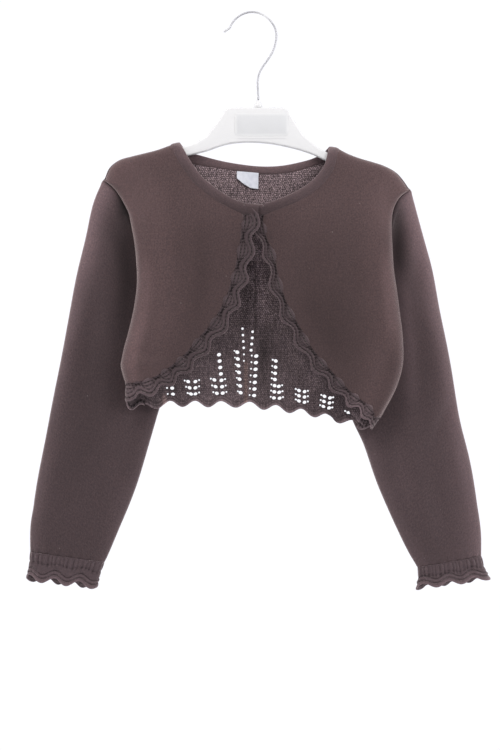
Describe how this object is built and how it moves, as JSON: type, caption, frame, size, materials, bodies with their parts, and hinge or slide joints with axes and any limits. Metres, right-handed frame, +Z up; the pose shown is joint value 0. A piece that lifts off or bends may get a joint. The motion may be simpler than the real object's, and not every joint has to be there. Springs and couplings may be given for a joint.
{
  "type": "cardigan on a hanger",
  "caption": "Cropped knitted cardigan with curved fronts, wavy lace trim, eyelet hem and gathered cuffs, hung on a white shaped hanger with a wire hook.",
  "frame": {"origin": "inside top of the hook, where a rail or wall hook holds it", "axes": "+X to the right as seen from the front, -Y is the front, +Z up"},
  "size_m": [0.4626, 0.0518, 0.5773],
  "materials": {
    "knit": "matt fine-gauge brown knit",
    "knit_trim": "matt brown knit, raised and gathered",
    "label_tape": "bare white woven tape",
    "white_plastic": "smooth white moulding",
    "grey_plate": "bare pale grey-blue plate",
    "steel": "bright drawn wire"
  },
  "bodies": {
    "root": {"back": "knit", "front_left": "knit", "front_right": "knit", "sleeve_left_front": "knit", "sleeve_left_back": "knit", "sleeve_right_front": "knit", "sleeve_right_front_low": "knit", "sleeve_right_back": "knit", "sleeve_right_back_low": "knit", "trim_left": "knit_trim", "trim_right": "knit_trim", "neckband": "knit_trim", "cuff_left": "knit_trim", "cuff_right": "knit_trim", "label": "label_tape", "hanger": "white_plastic", "hook_socket": "white_plastic", "hanger_plate": "grey_plate", "hook": "steel"}
  },
  "joints": []
}
